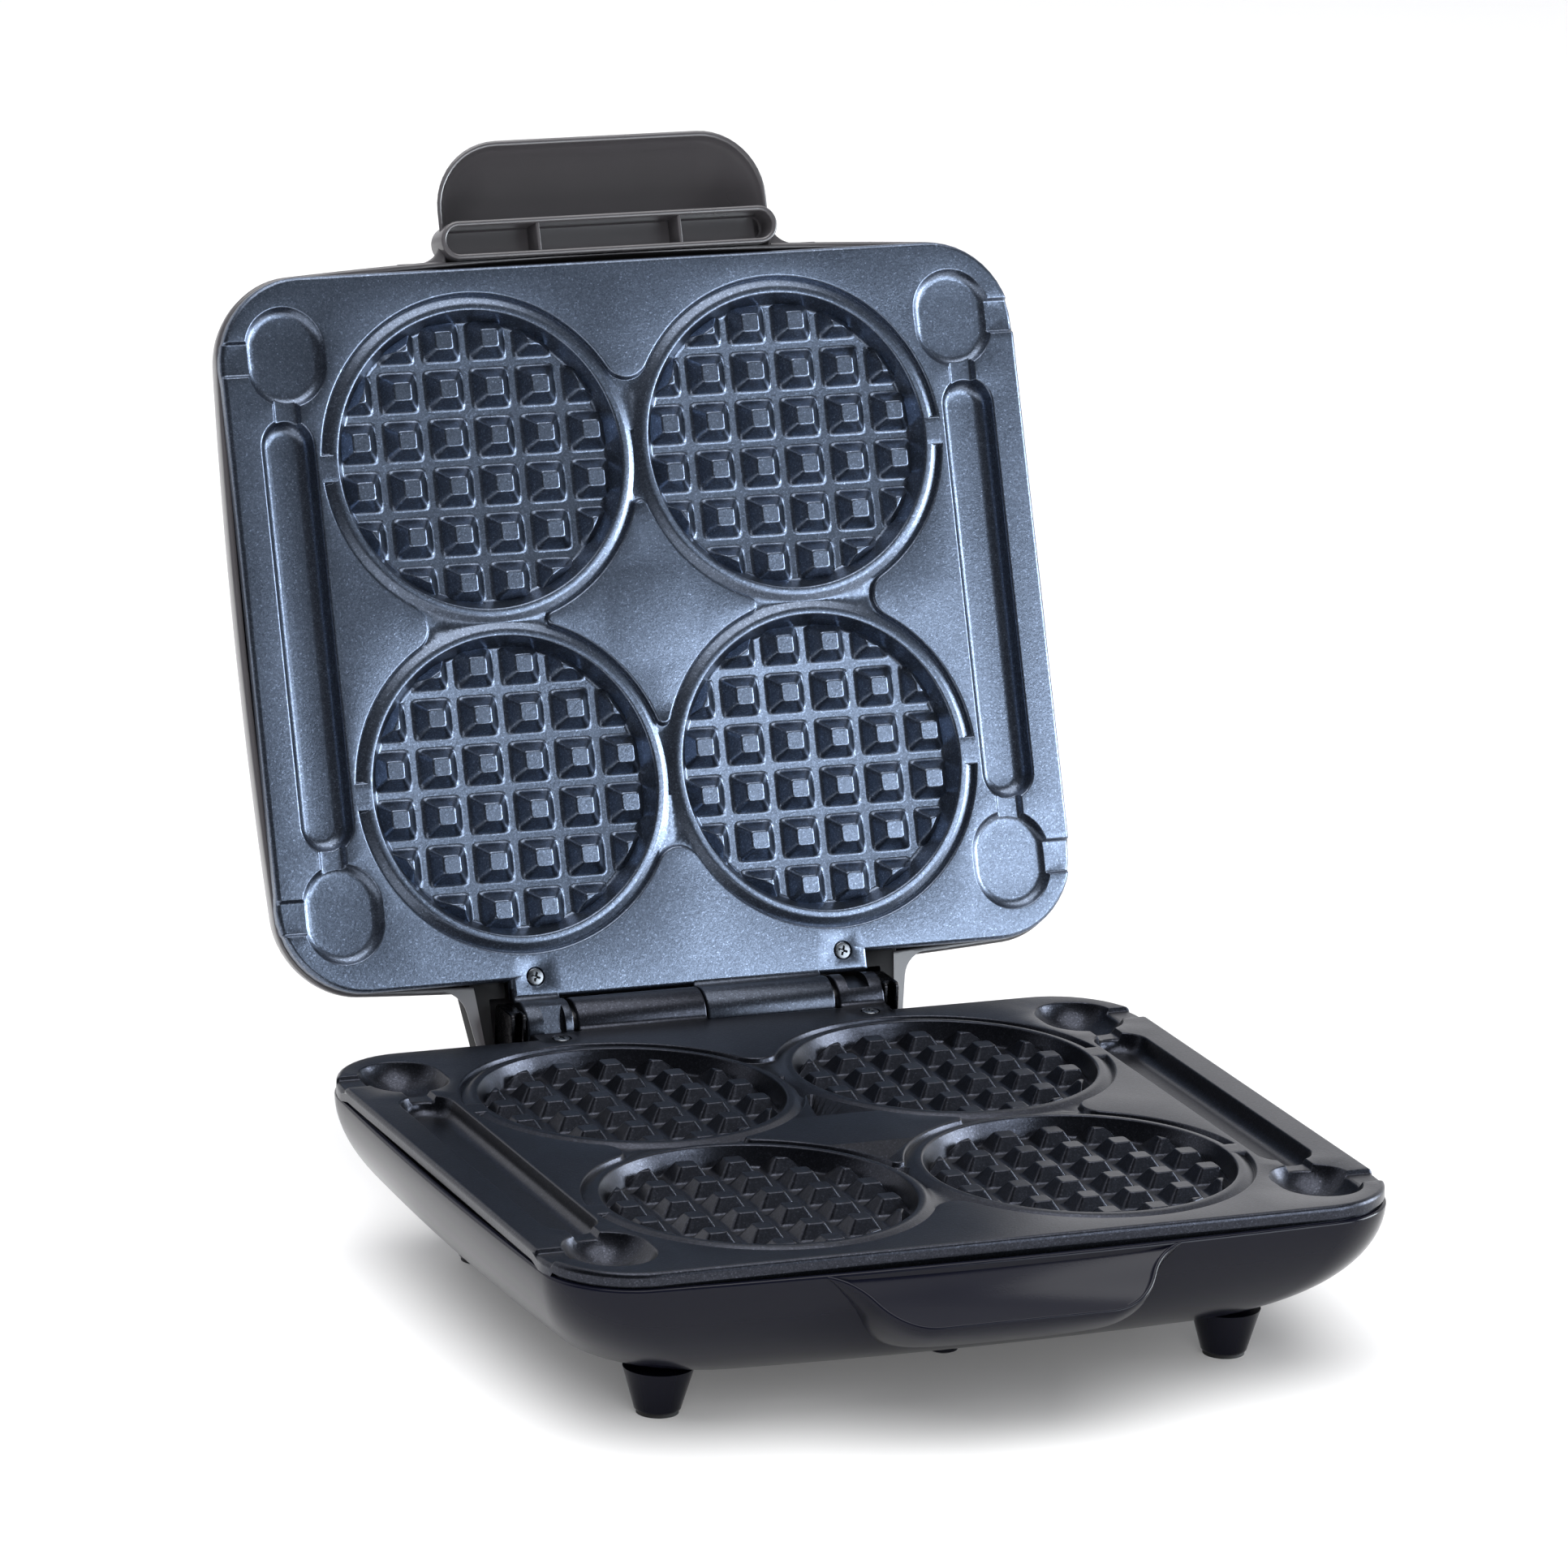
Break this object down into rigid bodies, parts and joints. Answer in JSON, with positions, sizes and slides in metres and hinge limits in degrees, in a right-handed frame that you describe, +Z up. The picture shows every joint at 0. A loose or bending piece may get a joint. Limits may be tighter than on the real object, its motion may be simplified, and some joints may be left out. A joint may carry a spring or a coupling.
{
  "type": "waffle maker",
  "caption": "Waffle maker with a hinged lid, round cavities with gridded plates, side stick wells and corner wells, a hollow front grip and feet.",
  "frame": {"origin": "under the middle of the open appliance, on the surface it stands on", "axes": "+X along the hinge, +Y from the handle side to the hinge side, +Z up"},
  "size_m": [0.301, 0.4202, 0.3486],
  "materials": {
    "base_gloss": "glossy near-black moulding",
    "black_plastic": "satin black moulding",
    "nonstick_lower": "dark glittered non-stick coating on die-cast aluminium",
    "nonstick_upper": "slate glittered non-stick coating on die-cast aluminium",
    "element_steel": "steel sheath of a tubular heater",
    "clip_steel": "stamped steel",
    "reflector_aluminium": "aluminised sheet",
    "screw_steel": "zinc-plated screws",
    "ceramic": "ceramic and heat-resistant moulding",
    "wire_sleeve": "silicone and glass-fibre sleeved wire",
    "pad_rubber": "soft black pad",
    "hinge_steel": "drawn steel tube",
    "lid_graphite": "satin graphite moulding with a metallic fleck",
    "thermostat_body": "brown phenolic",
    "lamp_glass": "clear lamp",
    "lens_red": "translucent red lens"
  },
  "bodies": {
    "base": {"base_shell": "base_gloss", "lower_handle": "base_gloss", "hinge_cradle": "black_plastic", "lower_cooking_plate": "nonstick_lower", "lower_heating_element": "element_steel", "lower_element_clips": "clip_steel", "lower_heat_reflector": "reflector_aluminium", "lower_plate_screws": "screw_steel", "lower_hinge_screws": "screw_steel", "thermal_fuse": "ceramic", "terminal_block": "ceramic", "base_wiring": "wire_sleeve", "cord_gland": "black_plastic", "foot_front_left": "base_gloss", "foot_front_right": "base_gloss", "foot_rear_left": "base_gloss", "foot_rear_right": "base_gloss", "foot_pads": "pad_rubber", "foot_screws": "screw_steel", "hinge_tube": "hinge_steel", "hinge_clips": "black_plastic", "hinge_harness": "wire_sleeve"},
    "lid": {"lid_shell": "lid_graphite", "handle_frame": "lid_graphite", "upper_cooking_plate": "nonstick_upper", "upper_heating_element": "element_steel", "upper_element_clips": "clip_steel", "upper_heat_reflector": "reflector_aluminium", "upper_reflector_screws": "screw_steel", "upper_hinge_screws": "screw_steel", "thermostat": "thermostat_body", "thermostat_bracket": "clip_steel", "lid_wiring": "wire_sleeve", "arm_cover_left": "black_plastic", "arm_cover_right": "black_plastic", "lamp_holder": "ceramic", "indicator_lamp": "lamp_glass", "indicator_lens": "lens_red"}
  },
  "joints": [
    {"name": "lid_hinge", "type": "hinge", "parent": "base", "child": "lid", "pos_m": [0, 0.07936, 0.0612], "axis": [1, 0, 0], "range_deg": [0, 111]}
  ]
}
